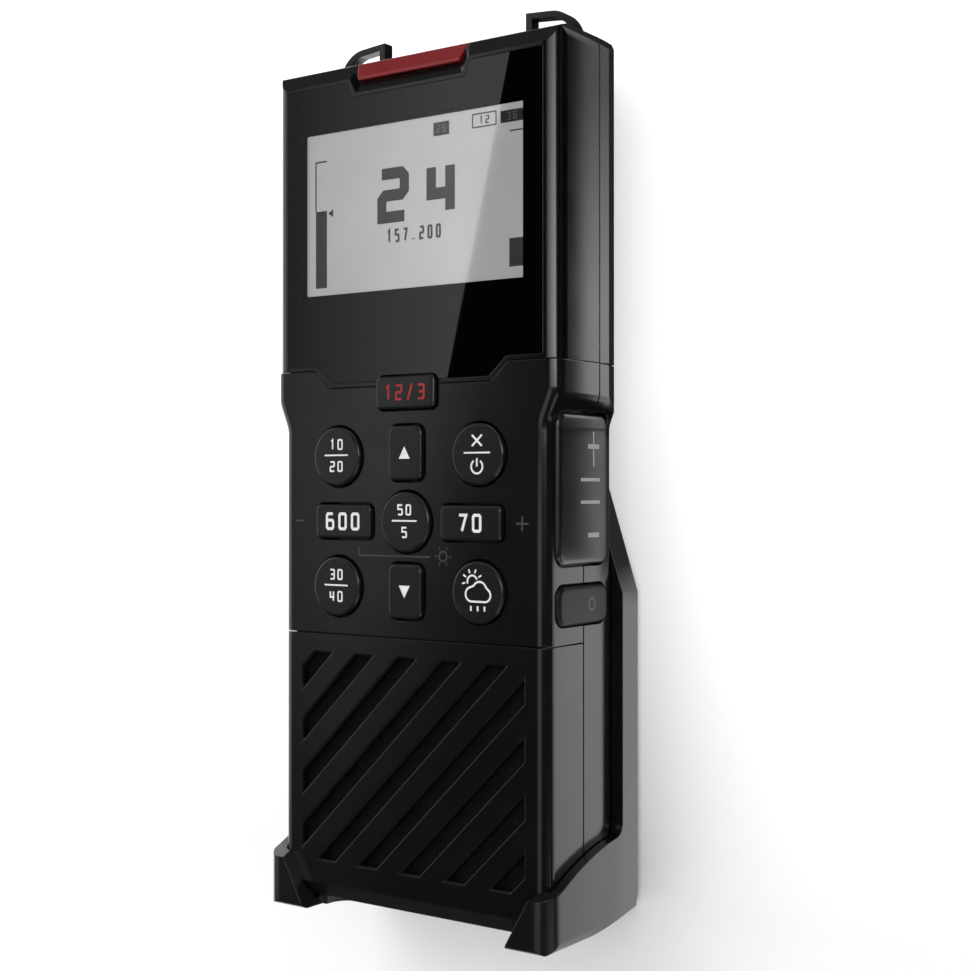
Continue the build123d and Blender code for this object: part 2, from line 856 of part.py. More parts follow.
def mesh_outline(gap=0.0):
    middle = level((grille_top + grille_bottom) / 2)
    width = grille_width + 2 * (skin + gap)
    height = grille_top - grille_bottom + 2 * (skin + gap)
    return Pos(0, middle) * Rectangle(width, height)


def build_speaker(outer, skin_inside):
    """Cover with its slanted slots, mesh, loudspeaker and microphone."""
    cover = (outer - skin_inside) & speaker_zone(seam) & front_half(-seam)
    for slot in slot_outline():
        cover -= from_front(slot, front_y - 1, front_y + skin + 1)
    half = grille_width / 2 + 0.1
    rims = [
        e for e in cover.edges()
        if abs(e.center().Y - front_y) < 0.001
        and abs(e.center().X) < half
        and level(grille_bottom) - 0.1 < e.center().Z < level(grille_top) + 0.1
    ]
    cover = chamfer(rims, slot_chamfer)
    mesh = from_front(mesh_outline(), front_y + skin, front_y + skin + mesh_thickness)
    z = level(speaker_row)
    start = inner_front_y + fit_gap
    basket_y = start + speaker_frame
    basket = rod_y(speaker_radius, start, basket_y, 0, z)
    basket += taper_y(speaker_radius - speaker_rim, speaker_radius / 2, basket_y, speaker_basket, 0, z)
    basket += rod_y(speaker_magnet_radius, basket_y + speaker_basket, start + speaker_depth, 0, z)
    dish = taper_y(speaker_radius - 2 * speaker_rim, speaker_cap_radius, start, speaker_cone_depth, 0, z)
    mic = rod_y(mic_radius, start, start + mic_thickness, mic_offset, level(mic_row))
    return {
        "speaker_cover": cover,
        "speaker_mesh": mesh,
        "speaker": basket - dish,
        "microphone": mic,
    }


def build_keypad():
    """Ten keys, the mat that seals them and the sheet of domes on the board."""
    pieces = {name: front_key(outline) for name, outline in key_outlines().items()}
    mat_y = inner_front_y + 2 * fit_gap + key_flange_thickness + key_travel
    back = mat_y + mat_thickness
    middle = level((mat_bottom + mat_top) / 2)
    sheet = rounded(2 * mat_half_width, mat_top - mat_bottom, mat_corner, 0, middle)
    ring = sheet - offset(sheet, amount=-mat_rim)
    mat = from_front(sheet, mat_y, back) + from_front(ring, inner_front_y + fit_gap, back)
    domes = from_front(dome_sheet_outline(), board_y - dome_film, board_y)
    for outline in key_outlines().values():
        at = outline.center()
        mat -= rod_y(key_stem_radius + running_gap, mat_y - 1, back + 1, at.X, at.Y)
        dome = rod_y(dome_radius, board_y - dome_film - dome_height, board_y, at.X, at.Y)
        domes += chamfer(dome.edges().group_by(Axis.Y)[0], dome_height * 0.9)
    pieces["keypad_mat"] = mat
    pieces["dome_sheet"] = domes
    return pieces


def dome_sheet_outline():
    width = board_width - 2 * dome_sheet_inset
    bottom = board_bottom + dome_sheet_inset
    top = channel_row + 2 * dome_radius
    return rounded(width, top - bottom, board_corner, 0, level((bottom + top) / 2))


def build_inside():
    """Circuit board, shield, battery, charging coil and antenna."""
    board_z = level((board_top + board_bottom) / 2)
    shield_y = board_y + board_thickness
    board_plan = rounded(board_width, board_top - board_bottom, board_corner, 0, board_z)
    board = from_front(board_plan, board_y, shield_y)
    can = rounded(shield_width, shield_height, board_corner, 0, level(shield_row))
    shield = from_front(can, shield_y, shield_y + shield_depth)
    shield -= from_front(offset(can, amount=-shield_wall), shield_y, shield_y + shield_depth - shield_wall)
    battery_y = inner_back_y - fit_gap
    battery_z = level(antenna_row) - (antenna_height + battery_height) / 2 - battery_gap
    battery_plan = rounded(battery_width, battery_height, battery_corner, 0, battery_z)
    battery = from_front(battery_plan, battery_y - battery_thickness, battery_y)
    layers = battery.edges().group_by(Axis.Y)
    battery = fillet(layers[0] + layers[-1], battery_edge)
    coil_y = rail_floor_y - skin - fit_gap
    ferrite_y = coil_y - coil_thickness - ferrite_thickness
    ring = Pos(0, coil_z) * (Circle(coil_radius) - Circle(coil_inner_radius))
    disc = Pos(0, coil_z) * Circle(coil_radius)
    antenna_y = inner_back_y - fit_gap
    antenna_plan = rounded(antenna_width, antenna_height, board_corner, 0, level(antenna_row))
    antenna = from_front(antenna_plan, antenna_y - antenna_thickness, antenna_y)
    return {
        "main_board": board,
        "rf_shield": shield,
        "battery_pack": battery,
        "handset_coil": from_front(ring, coil_y - coil_thickness, coil_y),
        "handset_ferrite": from_front(disc, ferrite_y, ferrite_y + ferrite_thickness),
        "antenna": antenna,
        "shell_screws": shell_screws(),
    }


def build_side_keys():
    """Rocker with the round ridge that it tilts about, small key and talk key."""
    rocker = soften(side_pad(rocker_row, rocker_height, rocker_thickness))
    inner = grip_width / 2 + side_proud - rocker_thickness
    ridge = from_front(
        Pos(inner, level(rocker_row)) * Circle(rocker_floor_gap - fit_gap),
        depth(side_front + rocker_ridge_inset), depth(side_back - rocker_ridge_inset),
    )
    small = soften(side_pad(side_key_row, side_key_height, side_pad_thickness))
    talk = soften(side_pad(ptt_row, ptt_height, side_pad_thickness))
    return {"side_rocker": rocker + ridge, "side_key": small, "ptt_key": mirror(talk, about=Plane.YZ)}


def build_distress(outer):
    """Hinged cover, its pin and the button under it."""
    cover = outer & from_front(notch_outline(), front_y, hinge_y)
    cover += hinge_bore(hinge_barrel_radius, 0)
    inner_half = cover_lip_half - cover_cheek
    ceiling = bevel_top_z - cover_ceiling_drop
    hollow_back = hinge_y - hinge_barrel_radius
    cover -= slab(-inner_half, inner_half, depth(cover_cheek), hollow_back, foot_z, ceiling)
    barrel_low = hinge_z - hinge_barrel_radius
    cover -= slab(-head_width, head_width, hollow_back, hinge_y + spare, foot_z, barrel_low)
    cover -= hinge_bore(hinge_pin_radius + hinge_pin_gap, 1)
    pin = hinge_bore(hinge_pin_radius, pin_reach - fit_gap)
    at = Pos(0, depth(button_setback))
    top = well_floor_z + button_height
    under = well_floor_z - well_floor - fit_gap
    cap = from_above(at * Circle(button_radius), well_floor_z + button_travel + fit_gap, top)
    cap = fillet(cap.edges().group_by(Axis.Z)[-1], key_edge)
    stem = from_above(at * Circle(button_stem_radius), under, top - key_edge)
    clip = from_above(at * Circle(button_clip_radius), under - button_clip, under)
    return {"distress_cover": cover, "distress_hinge_pin": pin, "distress_button": cap + stem + clip}


# ---------------------------------------------------------------- cradle
def plate_outline():
    """Front view of the cradle: straight sides that narrow to the top."""
    right = [
        (cradle_half_width, cradle_bottom),
        (cradle_half_width, shoulder_z),
        (top_half_width, cradle_top),
    ]
    outline = Polygon(*mirrored(right), align=None)
    return fillet(outline.vertices().group_by(Axis.Y)[0], cup_foot_radius)


def cup_outline():
    """Side view of the cradle: back plate, cup with rising walls, claws and sloping heel."""
    claw_y = front_y - seat_gap - claw_thickness
    wall_front = (front_y + seat_gap + 1, cradle_bottom + cup_front_wall)
    wall_middle = (front_y + handset_depth / 2 - 1, cradle_bottom + cup_middle_wall)
    wall_back = (-plate_thickness - 2 * cup_fillet, cradle_bottom + cup_back_wall)
    step = (-plate_thickness, cradle_bottom + cup_back_wall + cup_wall_rise)
    edges = [
        Line((claw_y, cradle_bottom), (claw_y, cradle_bottom + claw_top)),
        Line((claw_y, cradle_bottom + claw_top), wall_front),
        ThreePointArc(wall_front, wall_middle, wall_back),
        Line(wall_back, step),
        Line(step, (-plate_thickness, cradle_top)),
        Line((-plate_thickness, cradle_top), (0, cradle_top)),
        Line((0, cradle_top), (0, cradle_bottom + heel_height)),
        Line((0, cradle_bottom + heel_height), (-heel_depth, cradle_bottom + heel_drop)),
        Line((-heel_depth, cradle_bottom + heel_drop), (depth(foot_flat_depth), cradle_bottom)),
        Line((depth(foot_flat_depth), cradle_bottom), (claw_y, cradle_bottom)),
    ]
    outline = make_face(edges)
    inside = outline.vertices().sort_by_distance(step)[0]
    outline = fillet(inside, cup_fillet)
    lip = outline.vertices().sort_by_distance((claw_y, cradle_bottom))[0]
    return fillet(lip, cup_lip_radius)


def cup_plan():
    """Plan view of the cradle, with round front corners."""
    claw_y = front_y - seat_gap - claw_thickness
    outline = Pos(0, claw_y / 2) * Rectangle(2 * cradle_half_width, -claw_y)
    return fillet(outline.vertices().group_by(Axis.Y)[0], cup_corner)


def countersunk(x, z, radius, head_radius, face_y, toward=1):
    """A screw hole along Y, countersunk at face_y, that runs on toward +Y or -Y."""
    ends = sorted([face_y, face_y + toward * spare])
    sink = taper_y(head_radius, radius, face_y, toward * (head_radius - radius), x, z)
    return rod_y(radius, *ends, x, z) + sink


def lid_boss_places():
    """X and Z of the bosses in the four corners of the pocket."""
    x = pocket_half_width - lid_boss_inset
    rows = (pocket_bottom + lid_boss_inset, pocket_top - lid_boss_inset)
    return [(side * x, z) for side in (-1, 1) for z in rows]


def wall_screw_places():
    x = wall_screw_x / 2
    z = wall_screw_z / 2
    return [(x, z), (-x, z), (x, -z), (-x, -z)]


def claw_gap():
    """Front view of the opening between the claws, wider toward the top."""
    right = [
        (claw_half_gap, cradle_bottom - 1),
        (claw_half_gap, cradle_bottom),
        (claw_half_gap + 2 * claw_slant, cradle_bottom + 2 * claw_top),
    ]
    return Polygon(*mirrored(right), align=None)


def build_cradle():
    """Cradle body, its electronics, the lid behind them and the cable gland."""
    claw_y = front_y - seat_gap - claw_thickness
    body = from_above(cup_plan(), cradle_bottom, cradle_top)
    body = body & from_front(plate_outline(), claw_y, 0)
    body = body & from_side(cup_outline(), -cradle_half_width, cradle_half_width)
    back_edges = [
        e for e in body.edges()
        if abs(e.center().Y) < 0.001 and e.center().Z > cradle_bottom + heel_height + 1
    ]
    body = chamfer(back_edges, back_chamfer)
    body -= form(-seat_gap)
    body -= from_front(claw_gap(), claw_y - 1, depth(foot_bevel_depth) + 1)
    cut_back = depth(floor_cut_depth)
    cut_front = claw_y - spare
    floor_cut = Pos(0, (cut_back + cut_front) / 2) * RectangleRounded(
        2 * floor_cut_half, cut_back - cut_front, floor_cut_radius
    )
    body -= from_above(floor_cut, cradle_bottom - 1, cradle_bottom + cup_floor + foot_bevel_height + 1)

    rail = from_above(rail_outline(), rail_bottom, rail_top)
    rail_front = Pos(0, (rail_bottom + rail_top) / 2) * Rectangle(rail_width, rail_top - rail_bottom)
    rail_front = chamfer(rail_front.vertices(), rail_chamfer)
    body += rail & from_front(rail_front, -plate_thickness - rail_height, 0)

    for x, z in wall_screw_places():
        body -= countersunk(x, z, wall_screw_radius, wall_screw_head_radius, -plate_thickness)
    half = pocket_half_width
    body -= slab(-half, half, -pocket_depth, 1, pocket_bottom, pocket_top)
    lid_y = -lid_thickness - fit_gap
    ledge = half + lid_ledge
    body -= slab(-ledge, ledge, lid_y, 1, pocket_bottom - lid_ledge, pocket_top + lid_ledge)
    lid_half = ledge - fit_gap
    lid_height = pocket_top - pocket_bottom + 2 * (lid_ledge - fit_gap)
    lid_middle = Pos(0, (pocket_top + pocket_bottom) / 2)
    lid = from_front(lid_middle * Rectangle(2 * lid_half, lid_height), lid_y, -fit_gap)
    screws = []
    for x, z in lid_boss_places():
        body += rod_y(lid_boss_radius, -pocket_depth, lid_y, x, z)
        body -= rod_y(lid_screw_radius + screw_gap, -2 * fit_gap - lid_screw_length, 0, x, z)
        lid -= countersunk(x, z, lid_screw_radius + fit_gap, lid_screw_head_radius + fit_gap, -fit_gap, -1)
        shank = rod_y(lid_screw_radius, -fit_gap - lid_screw_length, -fit_gap, x, z)
        drop = lid_screw_radius - lid_screw_head_radius
        screws.append(shank + taper_y(lid_screw_head_radius, lid_screw_radius, -fit_gap, drop, x, z))
    lid -= rod_y(gland_radius + fit_gap, lid_y - 1, 1, 0, gland_z)
    gland = rod_y(gland_radius, lid_y, -fit_gap, 0, gland_z)
    gland += rod_y(gland_flange_radius, lid_y - gland_flange, lid_y, 0, gland_z)
    gland -= rod_y(gland_bore_radius, lid_y - spare, spare, 0, gland_z)
    floor_y = -pocket_depth + fit_gap
    ferrite_y = floor_y + coil_thickness
    ring = Pos(0, coil_z) * (Circle(coil_radius) - Circle(coil_inner_radius))
    disc = Pos(0, coil_z) * Circle(coil_radius)
    board = slab(
        -cradle_board_width / 2, cradle_board_width / 2,
        floor_y, floor_y + cradle_board_thickness, cradle_board_bottom, cradle_board_top,
    )
    return {
        "cradle_body": body,
        "cradle_lid": lid,
        "cradle_lid_screws": screws,
        "cradle_gland": gland,
        "cradle_coil": from_front(ring, floor_y, floor_y + coil_thickness),
        "cradle_ferrite": from_front(disc, ferrite_y, ferrite_y + ferrite_thickness),
        "cradle_board": board,
    }


# ---------------------------------------------------------------- the whole part
def build():
    """All pieces by node name."""
    outer = form()
    under_skin = form(skin + skin_gap)
    skin_inside = form(skin)
    cavity = form(wall, soft=False)
    pieces = build_shells(outer, under_skin, cavity)
    pieces.update(build_display(outer, skin_inside))
    pieces.update(build_speaker(outer, skin_inside))
    pieces.update(build_keypad())
    pieces.update(build_inside())
    pieces.update(build_side_keys())
    pieces.update(build_distress(outer))
    pieces.update(build_cradle())
    return pieces


for name, piece in build().items():
    solids = piece if isinstance(piece, list) else piece.solids()
    export_step(Compound(children=list(solids)) if len(solids) > 1 else solids[0], f"parts/{name}.step")
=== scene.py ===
from math import cos, hypot, pi, radians, sin

import bmesh
import bpy
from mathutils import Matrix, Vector


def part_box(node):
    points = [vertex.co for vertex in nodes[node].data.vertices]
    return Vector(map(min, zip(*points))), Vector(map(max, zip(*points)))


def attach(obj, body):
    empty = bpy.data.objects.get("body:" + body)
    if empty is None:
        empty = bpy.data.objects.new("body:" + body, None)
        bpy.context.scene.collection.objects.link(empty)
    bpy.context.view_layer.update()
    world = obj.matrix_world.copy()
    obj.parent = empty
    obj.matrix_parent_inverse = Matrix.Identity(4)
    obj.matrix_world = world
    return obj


# A wireless VHF handset in its wall-mounted charging cradle, in metres.
# The handset's front faces -Y, the wall is the plane y = 0, and +Z is up.
# Drawings on its surfaces are in millimetres.

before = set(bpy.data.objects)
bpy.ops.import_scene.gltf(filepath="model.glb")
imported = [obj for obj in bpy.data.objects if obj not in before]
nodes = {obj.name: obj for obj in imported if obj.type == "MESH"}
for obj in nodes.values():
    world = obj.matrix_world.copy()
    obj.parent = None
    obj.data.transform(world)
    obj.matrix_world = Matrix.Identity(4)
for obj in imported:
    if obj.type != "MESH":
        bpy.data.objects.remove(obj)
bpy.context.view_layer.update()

MM = 0.001

# The photograph's own camera: to the right of the handset and level with its middle.
CAMERA_PLACE = (0.1821, -0.2612, 0.0380)
CAMERA_TURN = (90.18, 0.0, 35.33)  # degrees
CAMERA_LENS = 58.6  # mm
CAMERA_SENSOR = 36.0  # mm

# Materials: sizes of the detail are in features per metre.
PLASTIC_INDEX = 1.58
TONE_PATCHES = 55.0
GLOSS_PATCHES = 130.0
FINE_GRAIN = 2400.0
POLISHED_GRAIN = 900.0
EDGE_ROUNDING = 0.25 * MM
TEXTURED = ("side_key", "ptt_key")

# Ink, in mm: each stroke lies a hair above the last, so that crossing strokes don't share a face.
INK_THICKNESS = 0.02
INK_STEP = 0.0005

# The stage: tones are shares of white.
WHITE = (1, 1, 1, 1)
PAPER = (0.92, 0.92, 0.92, 1)
# Painted light: the wall's glow at its strongest, higher up; it fades to none lower down and lightens
# the object's shadow up the wall.
PAINTED_WALL_GLOW = 0.49
WORLD_LIGHT = 0.9
KEY_SIZE = 0.9
KEY_RADIANCE = 2.4
CARD_LOW = -0.80
CARD_HIGH = 1.30


# ---------------------------------------------------------------- places, from the CAD
def middle(node):
    """The middle of a node's box, in mm."""
    low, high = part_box(node)
    return [(a + b) / 2 / MM for a, b in zip(low, high)]


def key_place(node):
    """Where a key's middle is on the front, in mm."""
    x, _, z = middle(node)
    return x, z


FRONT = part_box("display_lens")[0][1] / MM
KEY_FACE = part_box("key_ok")[0][1] / MM
ROCKER_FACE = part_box("side_rocker")[1][0] / MM
SIDE_KEY_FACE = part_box("side_key")[1][0] / MM
LCD_LOW, LCD_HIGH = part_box("lcd_panel")
LCD_RIM = 1.5 * MM
LCD_FACE = LCD_LOW[1] / MM
LCD_Z = (LCD_LOW[2] + LCD_HIGH[2]) / 2
LCD_HALF_WIDTH = (LCD_HIGH[0] - LCD_LOW[0]) / 2 - LCD_RIM
LCD_HALF_HEIGHT = (LCD_HIGH[2] - LCD_LOW[2]) / 2 - LCD_RIM


# ---------------------------------------------------------------- camera
def add_camera():
    data = bpy.data.cameras.new("camera")
    data.lens = CAMERA_LENS
    data.sensor_width = CAMERA_SENSOR
    data.clip_start = 0.01
    camera = bpy.data.objects.new("camera", data)
    camera.location = CAMERA_PLACE
    camera.rotation_euler = [radians(turn) for turn in CAMERA_TURN]
    bpy.context.collection.objects.link(camera)
    bpy.context.scene.camera = camera


# ---------------------------------------------------------------- nodes of a material
def feed(tree, socket, value):
    """Links a socket to another node's output, or sets it to a number or colour."""
    if isinstance(value, bpy.types.NodeSocket):
        tree.links.new(value, socket)
    else:
        socket.default_value = value


def add_node(tree, kind, settings=None, **inputs):
    """A node with its settings and the values or links of its inputs, by input name."""
    node = tree.nodes.new(kind)
    for key, value in (settings or {}).items():
        setattr(node, key, value)
    for key, value in inputs.items():
        feed(tree, node.inputs[key.replace("_", " ")], value)
    return node


def calculate(tree, operation, *values):
    """The result of a Math node; each value is a number or a link."""
    node = add_node(tree, "ShaderNodeMath", {"operation": operation})
    for socket, value in zip(node.inputs, values):
        feed(tree, socket, value)
    return node.outputs[0]


def own_place(tree):
    """A point's place in the object's own metres."""
    return add_node(tree, "ShaderNodeTexCoord").outputs["Object"]


def own_axes(tree):
    """The same place as outputs named X, Y and Z."""
    return add_node(tree, "ShaderNodeSeparateXYZ", Vector=own_place(tree)).outputs


def noise(tree, scale, detail=3.0):
    """A noise with this many features per metre."""
    texture = add_node(tree, "ShaderNodeTexNoise", Vector=own_place(tree), Scale=scale, Detail=detail)
    return texture.outputs["Fac"]


def spread(tree, value, low, high, start=0.3, end=0.7):
    """A value stretched from start..end to low..high."""
    stretched = add_node(
        tree, "ShaderNodeMapRange",
        Value=value, From_Min=start, From_Max=end, To_Min=low, To_Max=high,
    )
    return stretched.outputs["Result"]


def blend_colours(tree, factor, first, second):
    """The first colour where the factor is 0, the second where it is 1."""
    node = add_node(tree, "ShaderNodeMix", {"data_type": "RGBA"}, Factor=factor)
    sockets = [socket for socket in node.inputs if socket.type == "RGBA"]
    for socket, colour in zip(sockets, (first, second)):
        socket.default_value = (*colour, 1)
    return next(socket for socket in node.outputs if socket.type == "RGBA")


def patches(tree, scale, first, second):
    """Soft patches of two colours."""
    return blend_colours(tree, spread(tree, noise(tree, scale), 0, 1), first, second)


def new_material(name):
    material = bpy.data.materials.new(name)
    material.use_nodes = True
    return material, material.node_tree, material.node_tree.nodes["Principled BSDF"].inputs


def grey(value):
    return (value, value, value * 1.02)


# ---------------------------------------------------------------- materials
def moulded(name, dark, light, roughness, grain=FINE_GRAIN, height=0.012):
    """Moulded plastic: faint patches of tone and gloss, a fine grain and softened edges.

    roughness is (least, most), grain in features per metre and height in mm.
    """
    material, tree, shader = new_material(name)
    feed(tree, shader["Base Color"], patches(tree, TONE_PATCHES, dark, light))
    feed(tree, shader["Roughness"], spread(tree, noise(tree, GLOSS_PATCHES), *roughness))
    shader["IOR"].default_value = PLASTIC_INDEX
    rounding = add_node(tree, "ShaderNodeBevel", {"samples": 6}, Radius=EDGE_ROUNDING)
    bump = add_node(
        tree, "ShaderNodeBump",
        Strength=0.6,
        Distance=height * MM,
        Height=noise(tree, grain, detail=2.0),
        Normal=rounding.outputs["Normal"],
    )
    feed(tree, shader["Normal"], bump.outputs["Normal"])
    return material


def make_side_rubber():
    """Textured, duller rubber of the two keys on the sides."""
    material = moulded("side_rubber", grey(0.004), grey(0.007), (0.40, 0.46), 1600.0, 0.02)
    shader = material.node_tree.nodes["Principled BSDF"].inputs
    shader["Specular IOR Level"].default_value = 0.17
    return material


def make_metal(name, colour):
    material, tree, shader = new_material(name)
    darker = tuple(0.8 * c for c in colour)
    feed(tree, shader["Base Color"], patches(tree, 300.0, darker, colour))
    feed(tree, shader["Roughness"], spread(tree, noise(tree, 300.0), 0.25, 0.4))
    shader["Metallic"].default_value = 1.0
    return material


def make_mesh_fabric():
    """Woven acoustic mesh: dark threads with small open holes."""
    material, tree, shader = new_material("mesh_fabric")
    cells = add_node(
        tree, "ShaderNodeTexVoronoi", {"feature": "DISTANCE_TO_EDGE"},
        Vector=own_place(tree), Scale=1500.0,
    )
    threads = spread(tree, cells.outputs["Distance"], 1, 0, 0.05, 0.22)
    feed(tree, shader["Base Color"], blend_colours(tree, threads, grey(0.001), grey(0.005)))
    feed(tree, shader["Roughness"], spread(tree, noise(tree, 500.0), 0.5, 0.7))
    shader["Specular IOR Level"].default_value = 0.15
    bump = add_node(tree, "ShaderNodeBump", Strength=0.8, Distance=0.05 * MM, Height=threads)
    feed(tree, shader["Normal"], bump.outputs["Normal"])
    return material


def make_lens():
    """Polished glass over black ink, clear only over the display's view."""
    material, tree, shader = new_material("lens")
    place = own_axes(tree)
    across = calculate(tree, "ABSOLUTE", place["X"])
    up = calculate(tree, "ABSOLUTE", calculate(tree, "SUBTRACT", place["Z"], LCD_Z))
    window = calculate(
        tree, "MULTIPLY",
        calculate(tree, "LESS_THAN", across, LCD_HALF_WIDTH),
        calculate(tree, "LESS_THAN", up, LCD_HALF_HEIGHT),
    )
    feed(tree, shader["Transmission Weight"], window)
    feed(tree, shader["Base Color"], blend_colours(tree, window, (0.0008, 0.0008, 0.0009), (1, 1, 1)))
    feed(tree, shader["Roughness"], spread(tree, noise(tree, 90.0), 0.0, 0.02))
    return material


def make_lcd():
    """Pale grey display, half a mirror and lit a little from behind."""
    material, tree, shader = new_material("lcd")
    colour = patches(tree, 40.0, (0.272, 0.272, 0.270), (0.312, 0.312, 0.310))
    feed(tree, shader["Base Color"], colour)
    feed(tree, shader["Emission Color"], colour)
    feed(tree, shader["Roughness"], spread(tree, noise(tree, 700.0), 0.03, 0.06))
    shader["Emission Strength"].default_value = 1.06
    shader["Metallic"].default_value = 0.44
    return material


def make_ink(name, colour):
    """Printed ink, slightly uneven."""
    material, tree, shader = new_material(name)
    worn = tuple(0.85 * c for c in colour)
    feed(tree, shader["Base Color"], patches(tree, 900.0, worn, colour))
    feed(tree, shader["Roughness"], spread(tree, noise(tree, 900.0), 0.4, 0.5))
    return material


def make_materials():
    """Materials by the record's slot names, and the textured rubber of the side keys."""
    plastics = {
        "shell_plastic": (grey(0.0038), grey(0.0052), (0.15, 0.18), FINE_GRAIN, 0.004),
        "gloss_plastic": (grey(0.002), grey(0.003), (0.15, 0.19), POLISHED_GRAIN, 0.002),
        "key_rubber": (grey(0.005), grey(0.008), (0.21, 0.26), FINE_GRAIN, 0.006),
        "cradle_plastic": (grey(0.004), grey(0.006), (0.22, 0.27), FINE_GRAIN, 0.008),
        "red_plastic": ((0.14, 0.007, 0.009), (0.18, 0.010, 0.012), (0.16, 0.22), 700.0, 0.003),
        "mask_ink": (grey(0.002), grey(0.003), (0.1, 0.15), POLISHED_GRAIN, 0.001),
        "black_rubber": (grey(0.010), grey(0.016), (0.55, 0.65)),
        "light_guide": (grey(0.70), grey(0.78), (0.3, 0.4)),
        "speaker_parts": (grey(0.04), grey(0.06), (0.4, 0.5)),
        "circuit_board": ((0.01, 0.06, 0.03), (0.02, 0.09, 0.04), (0.35, 0.45)),
        "battery_wrap": ((0.03, 0.05, 0.10), (0.04, 0.06, 0.13), (0.3, 0.4)),
        "ferrite": (grey(0.05), grey(0.08), (0.5, 0.6)),
    }
    made = {name: moulded(name, *finish) for name, finish in plastics.items()}
    made["side_rubber"] = make_side_rubber()
    made["steel"] = make_metal("steel", (0.56, 0.57, 0.58))
    made["copper"] = make_metal("copper", (0.80, 0.42, 0.28))
    made["mesh_fabric"] = make_mesh_fabric()
    made["lens"] = make_lens()
    made["lcd"] = make_lcd()
    return made


def dress_nodes():
    """Each CAD node takes the material of its slot in the record; two side keys are textured."""
    materials = make_materials()
    for name, thing in nodes.items():
        for slot in thing.material_slots:
            key = slot.material.name.split(".")[0] if slot.material else ""
            if name in TEXTURED:
                key = "side_rubber"
            slot.material = materials.get(key, materials["shell_plastic"])


# ---------------------------------------------------------------- strokes
def ribbon(points, width, closed=False):
    """Four-cornered pieces of a flat stroke along points, mitred where it bends."""
    count = len(points)
    corners = []
    for i, (x, y) in enumerate(points):
        before = points[i - 1] if closed or i else None
        after = points[(i + 1) % count] if closed or i < count - 1 else None
        directions = []
        if before:
            directions.append((x - before[0], y - before[1]))
        if after:
            directions.append((after[0] - x, after[1] - y))
        normals = [(-dy / hypot(dx, dy), dx / hypot(dx, dy)) for dx, dy in directions]
        nx = sum(n[0] for n in normals)
        ny = sum(n[1] for n in normals)
        length = hypot(nx, ny)
        nx, ny = nx / length, ny / length
        reach = width / 2 / (nx * normals[0][0] + ny * normals[0][1])
        corners.append(((x + nx * reach, y + ny * reach), (x - nx * reach, y - ny * reach)))
    last = count if closed else count - 1
    pieces = []
    for i in range(last):
        (a, b), (c, d) = corners[i], corners[(i + 1) % count]
        pieces.append([a, b, d, c])
    return pieces


def level(x0, x1, y, width):
    """A level stroke."""
    return ribbon([(x0, y), (x1, y)], width)


def upright(x, y0, y1, width):
    """An upright stroke."""
    return ribbon([(x, y0), (x, y1)], width)


def ray(x, y, angle, near, far, width):
    """A stroke that points away from x, y, at an angle in degrees."""
    turn = radians(angle)
    return ribbon([(x + reach * cos(turn), y + reach * sin(turn)) for reach in (near, far)], width)


def arc(x, y, radius, start, end, count=16):
    """Points on an arc, in degrees."""
    turns = [radians(start + (end - start) * i / count) for i in range(count + 1)]
    return [(x + radius * cos(t), y + radius * sin(t)) for t in turns]


def ring(x, y, radius, width):
    return ribbon(arc(x, y, radius, 0, 360)[:-1], width, True)


def box_outline(x0, x1, y0, y1):
    return [(x0, y0), (x1, y0), (x1, y1), (x0, y1)]


def digit_strokes():
    """Centre lines of plain numerals on a grid 4 wide and 6 high, and whether each is closed."""
    round_top = [(0, 6), (3.4, 6), (4, 5.4)]
    round_foot = [(4, 0.6), (3.4, 0), (0, 0)]
    loop = [(0.6, 0), (3.4, 0), (4, 0.6), (4, 5.4), (3.4, 6), (0.6, 6), (0, 5.4), (0, 0.6)]
    round_six = [(3.8, 6), (0.6, 6), (0, 5.4), (0, 0.6), (0.6, 0), (3.4, 0), (4, 0.6)]
    round_six += [(4, 2.8), (3.4, 3.4), (0, 3.4)]
    return {
        "0": [(loop, True)],
        "1": [([(0.9, 5.0), (2.3, 6), (2.3, 0)], False)],
        "2": [(round_top + [(4, 3.6), (3.4, 3), (0.6, 3), (0, 2.4), (0, 0), (4, 0)], False)],
        "3": [(round_top + round_foot, False), ([(0.8, 3), (4, 3)], False)],
        "4": [([(0, 6), (0, 2.4), (4, 2.4)], False), ([(3.2, 6), (3.2, 0)], False)],
        "5": [([(4, 6), (0, 6), (0, 3.4), (3.4, 3.4), (4, 2.8)] + round_foot, False)],
        "6": [(round_six, False)],
        "7": [([(0, 6), (4, 6), (1.6, 0)], False)],
        ".": [([(2, 0), (2, 0.7)], False)],
        "/": [([(0.4, -0.6), (3.6, 6.6)], False)],
    }


def number(text, x, y, height, width=None, stroke=0.16):
    """Flat pieces of a plain number, centred on x, y; stroke is a share of the height."""
    strokes = digit_strokes()
    width = width or 0.62 * height
    thick = stroke * height
    pitch = width + 1.9 * thick
    left = x - (len(text) - 1) * pitch / 2
    across = (width - thick) / 4
    up = (height - thick) / 6
    pieces = []
    for i, glyph in enumerate(text):
        for line, closed in strokes[glyph]:
            points = [(left + i * pitch + (px - 2) * across, y + (py - 3) * up) for px, py in line]
            pieces += ribbon(points, thick, closed)
    return pieces


# ---------------------------------------------------------------- flat pieces
def on_front(depth):
    """Places a drawing's x and y on a plane that faces the front."""
    return lambda u, v, lift: (u * MM, (depth - lift) * MM, v * MM)


def on_right(x):
    """Places a drawing's x and y on a plane that faces right; its x runs from front to back."""
    return lambda u, v, lift: ((x + lift) * MM, u * MM, v * MM)


